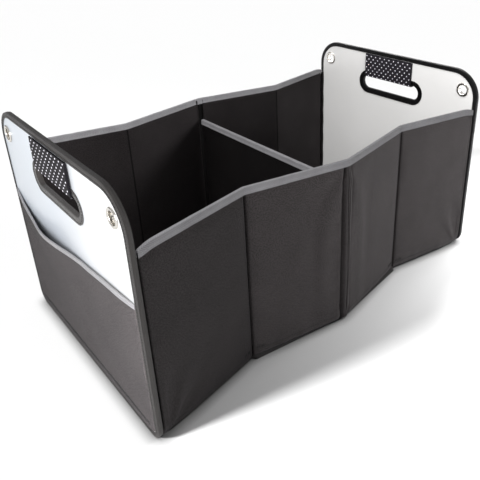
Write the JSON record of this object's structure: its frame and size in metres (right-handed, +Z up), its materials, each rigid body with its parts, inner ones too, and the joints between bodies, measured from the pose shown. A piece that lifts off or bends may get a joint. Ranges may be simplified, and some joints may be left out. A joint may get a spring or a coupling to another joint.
{
  "type": "collapsible storage crate",
  "caption": "Folding fabric crate with stiff end panels, hand slots, accordion side walls, a cross divider and end pockets; it folds flat end to end.",
  "frame": {"origin": "centre of the footprint on the ground", "axes": "+X along the crate towards the right end panel, +Z up, near side wall at -Y"},
  "size_m": [0.549, 0.32, 0.28],
  "materials": {
    "board": "stiff grey-brown pressed board",
    "gloss_sheet": "glossy white plastic sheet with a soft grey sheen",
    "matt_sheet": "satin warm white plastic sheet",
    "black_binding": "black satin-woven edge tape with a soft sheen",
    "grip_rubber": "soft black rubberised grip with small raised pale dots",
    "eyelet_chrome": "polished nickel-plated eyelets",
    "wall_fabric": "charcoal woven polyester",
    "lining": "black woven polyester lining",
    "grey_binding": "light grey ribbed woven tape"
  },
  "bodies": {
    "divider": {"divider_board": "board", "divider_cover": "lining", "divider_binding": "grey_binding", "near_divider_seam": "wall_fabric", "far_divider_seam": "wall_fabric", "base_fabric": "lining"},
    "near_wall_1": {"near_wall_1_board": "board", "near_wall_1_cover": "wall_fabric", "near_wall_1_top_binding": "grey_binding"},
    "near_wall_2": {"near_wall_2_board": "board", "near_wall_2_cover": "wall_fabric", "near_wall_2_top_binding": "grey_binding"},
    "near_wall_3": {"near_wall_3_board": "board", "near_wall_3_cover": "wall_fabric", "near_wall_3_top_binding": "grey_binding"},
    "near_wall_4": {"near_wall_4_board": "board", "near_wall_4_cover": "wall_fabric", "near_wall_4_top_binding": "grey_binding"},
    "far_wall_1": {"far_wall_1_board": "board", "far_wall_1_cover": "wall_fabric", "far_wall_1_top_binding": "grey_binding"},
    "far_wall_2": {"far_wall_2_board": "board", "far_wall_2_cover": "wall_fabric", "far_wall_2_top_binding": "grey_binding"},
    "far_wall_3": {"far_wall_3_board": "board", "far_wall_3_cover": "wall_fabric", "far_wall_3_top_binding": "grey_binding"},
    "far_wall_4": {"far_wall_4_board": "board", "far_wall_4_cover": "wall_fabric", "far_wall_4_top_binding": "grey_binding"},
    "left_end": {"left_end_board": "board", "left_outer_sheet": "gloss_sheet", "left_inner_sheet": "matt_sheet", "left_edge_binding": "black_binding", "left_slot_binding": "black_binding", "left_grip_sleeve": "grip_rubber", "left_eyelet_near": "eyelet_chrome", "left_eyelet_far": "eyelet_chrome", "left_pocket": "wall_fabric", "left_pocket_binding": "grey_binding"},
    "right_end": {"right_end_board": "board", "right_outer_sheet": "gloss_sheet", "right_inner_sheet": "matt_sheet", "right_edge_binding": "black_binding", "right_slot_binding": "black_binding", "right_grip_sleeve": "grip_rubber", "right_eyelet_near": "eyelet_chrome", "right_eyelet_far": "eyelet_chrome", "right_pocket": "wall_fabric", "right_pocket_binding": "grey_binding"},
    "left_floor": {"left_floor_pad": "lining", "left_floor_keel": "board", "left_pull_loop": "black_binding"},
    "right_floor": {"right_floor_pad": "lining", "right_floor_keel": "board", "right_pull_loop": "black_binding"}
  },
  "joints": [
    {"name": "wall_fold", "type": "hinge", "parent": "divider", "child": "near_wall_3", "pos_m": [0.0032, -0.152, 0], "axis": [0, 0, 1], "range_deg": [0, 78], "deforming": ["base_fabric"]},
    {"name": "near_fold_34", "type": "hinge", "parent": "near_wall_3", "child": "near_wall_4", "pos_m": [0.1309, -0.13173, 0], "axis": [0, 0, 1], "range_deg": [-156, 0]},
    {"name": "near_corner_right", "type": "hinge", "parent": "near_wall_4", "child": "right_end", "pos_m": [0.2586, -0.152, 0], "axis": [0, 0, 1], "range_deg": [0, 78]},
    {"name": "near_fold_mid_left", "type": "hinge", "parent": "divider", "child": "near_wall_2", "pos_m": [-0.0032, -0.152, 0], "axis": [0, 0, 1], "range_deg": [-78, 0]},
    {"name": "near_fold_12", "type": "hinge", "parent": "near_wall_2", "child": "near_wall_1", "pos_m": [-0.1309, -0.13173, 0], "axis": [0, 0, 1], "range_deg": [0, 156]},
    {"name": "near_corner_left", "type": "hinge", "parent": "near_wall_1", "child": "left_end", "pos_m": [-0.2586, -0.152, 0], "axis": [0, 0, 1], "range_deg": [-78, 0]},
    {"name": "far_fold_mid_right", "type": "hinge", "parent": "divider", "child": "far_wall_3", "pos_m": [0.0032, 0.152, 0], "axis": [0, 0, 1], "range_deg": [-78, 0]},
    {"name": "far_fold_34", "type": "hinge", "parent": "far_wall_3", "child": "far_wall_4", "pos_m": [0.1309, 0.13173, 0], "axis": [0, 0, 1], "range_deg": [0, 156]},
    {"name": "far_fold_mid_left", "type": "hinge", "parent": "divider", "child": "far_wall_2", "pos_m": [-0.0032, 0.152, 0], "axis": [0, 0, 1], "range_deg": [0, 78]},
    {"name": "far_fold_12", "type": "hinge", "parent": "far_wall_2", "child": "far_wall_1", "pos_m": [-0.1309, 0.13173, 0], "axis": [0, 0, 1], "range_deg": [-156, 0]},
    {"name": "right_floor_lift", "type": "hinge", "parent": "right_end", "child": "right_floor", "pos_m": [0.2608, 0, 0.0042], "axis": [0, 1, 0], "range_deg": [0, 90], "deforming": ["right_floor_pad"]},
    {"name": "left_floor_lift", "type": "hinge", "parent": "left_end", "child": "left_floor", "pos_m": [-0.2608, 0, 0.0042], "axis": [0, 1, 0], "range_deg": [-90, 0], "deforming": ["left_floor_pad"]}
  ],
  "couplings": [
    {"joint": "near_fold_34", "follows": "wall_fold", "ratio": -2},
    {"joint": "near_corner_right", "follows": "wall_fold", "ratio": 1},
    {"joint": "near_fold_mid_left", "follows": "wall_fold", "ratio": -1},
    {"joint": "near_fold_12", "follows": "wall_fold", "ratio": 2},
    {"joint": "near_corner_left", "follows": "wall_fold", "ratio": -1},
    {"joint": "far_fold_mid_right", "follows": "wall_fold", "ratio": -1},
    {"joint": "far_fold_34", "follows": "wall_fold", "ratio": 2},
    {"joint": "far_fold_mid_left", "follows": "wall_fold", "ratio": 1},
    {"joint": "far_fold_12", "follows": "wall_fold", "ratio": -2},
    {"joint": "right_floor_lift", "follows": "wall_fold", "ratio": 1.1538},
    {"joint": "left_floor_lift", "follows": "wall_fold", "ratio": -1.1538}
  ]
}
